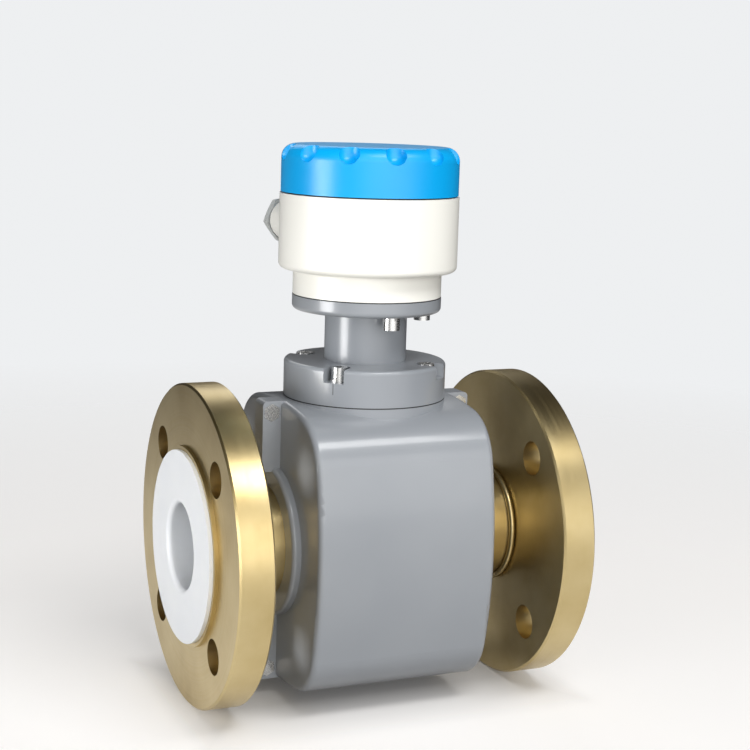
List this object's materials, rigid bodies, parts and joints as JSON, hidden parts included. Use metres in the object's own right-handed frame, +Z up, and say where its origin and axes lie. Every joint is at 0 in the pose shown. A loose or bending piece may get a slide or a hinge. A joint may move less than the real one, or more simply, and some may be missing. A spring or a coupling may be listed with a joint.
{
  "type": "electromagnetic flow meter",
  "caption": "Flanged electromagnetic flow meter with a lined tube, a grey sensor housing, a neck and a round converter head under a screw cap.",
  "frame": {"origin": "on the pipe axis, half way between the two liner faces", "axes": "+X along the pipe from inlet to outlet, +Z up through the neck and the head, -Y towards the front of the meter"},
  "size_m": [0.198, 0.165, 0.2851],
  "materials": {
    "passivated_steel": "yellow passivated zinc plating over turned steel",
    "ptfe": "white fluoropolymer, slightly translucent",
    "stainless": "turned",
    "winding": "taped copper winding",
    "iron": "plain",
    "grey_housing": "glossy moulded grey",
    "ivory_head": "satin ivory",
    "blue_cap": "satin azure blue",
    "seal_rubber": "matt black",
    "grey_plug": "light grey nylon",
    "board": "green solder mask",
    "terminal_green": "moulded",
    "lead_jacket": "jacketed lead",
    "brass_pillar": "plain",
    "fastener": "bright"
  },
  "bodies": {
    "meter": {"board_screws": "fastener", "coil_lead": "lead_jacket", "converter_body": "ivory_head", "electrode_nuts": "fastener", "front_electrode": "stainless", "front_electrode_boss": "stainless", "front_electrode_sleeve": "ptfe", "front_housing_shell": "grey_housing", "head_gasket": "seal_rubber", "head_screws": "fastener", "head_spring_washers": "fastener", "housing_nuts": "fastener", "housing_screws": "fastener", "inlet_flange": "passivated_steel", "inlet_liner_flare": "ptfe", "inlet_weld": "passivated_steel", "lower_coil": "winding", "lower_pillars": "brass_pillar", "lower_pole_core": "iron", "main_board": "board", "metering_tube": "passivated_steel", "neck_gasket": "seal_rubber", "neck_screws": "fastener", "neck_spring_washers": "fastener", "neck_stem": "grey_housing", "neck_washers": "fastener", "outlet_flange": "passivated_steel", "outlet_liner_flare": "ptfe", "outlet_weld": "passivated_steel", "power_board": "board", "ptfe_liner": "ptfe", "rear_electrode": "stainless", "rear_electrode_boss": "stainless", "rear_electrode_sleeve": "ptfe", "rear_housing_shell": "grey_housing", "return_yoke": "iron", "signal_lead": "lead_jacket", "terminal_block": "terminal_green", "terminal_screws": "fastener", "upper_coil": "winding", "upper_pillars": "brass_pillar", "upper_pole_core": "iron"},
    "cap": {"screw_cap": "blue_cap"},
    "cap_seal_ring": {"cap_seal": "seal_rubber"},
    "inlet_side_stopper": {"inlet_side_plug": "grey_plug"},
    "inlet_side_seal_ring": {"inlet_side_plug_seal": "seal_rubber"},
    "outlet_side_stopper": {"outlet_side_plug": "grey_plug"},
    "outlet_side_seal_ring": {"outlet_side_plug_seal": "seal_rubber"}
  },
  "joints": [
    {"name": "cap_lift", "type": "slide", "parent": "meter", "child": "cap_seal_ring", "axis": [0, 0, 1], "range_m": [0, 0.009]},
    {"name": "cap_turn", "type": "hinge", "parent": "cap_seal_ring", "child": "cap", "pos_m": [0, 0, 0.1785], "axis": [0, 0, 1], "range_deg": [0, 1620]},
    {"name": "inlet_side_plug_travel", "type": "slide", "parent": "meter", "child": "inlet_side_seal_ring", "axis": [0, 1, 0], "range_m": [0, 0.009]},
    {"name": "inlet_side_plug_turn", "type": "hinge", "parent": "inlet_side_seal_ring", "child": "inlet_side_stopper", "pos_m": [-0.0245, 0.05, 0.1608], "axis": [0, 1, 0], "range_deg": [0, 2160]},
    {"name": "outlet_side_plug_travel", "type": "slide", "parent": "meter", "child": "outlet_side_seal_ring", "axis": [0, 1, 0], "range_m": [0, 0.009]},
    {"name": "outlet_side_plug_turn", "type": "hinge", "parent": "outlet_side_seal_ring", "child": "outlet_side_stopper", "pos_m": [0.0245, 0.05, 0.1608], "axis": [0, 1, 0], "range_deg": [0, 2160]}
  ],
  "couplings": [
    {"joint": "cap_lift", "follows": "cap_turn", "m_per_rad": 0.0003183},
    {"joint": "inlet_side_plug_travel", "follows": "inlet_side_plug_turn", "m_per_rad": 0.0002387},
    {"joint": "outlet_side_plug_travel", "follows": "outlet_side_plug_turn", "m_per_rad": 0.0002387}
  ]
}
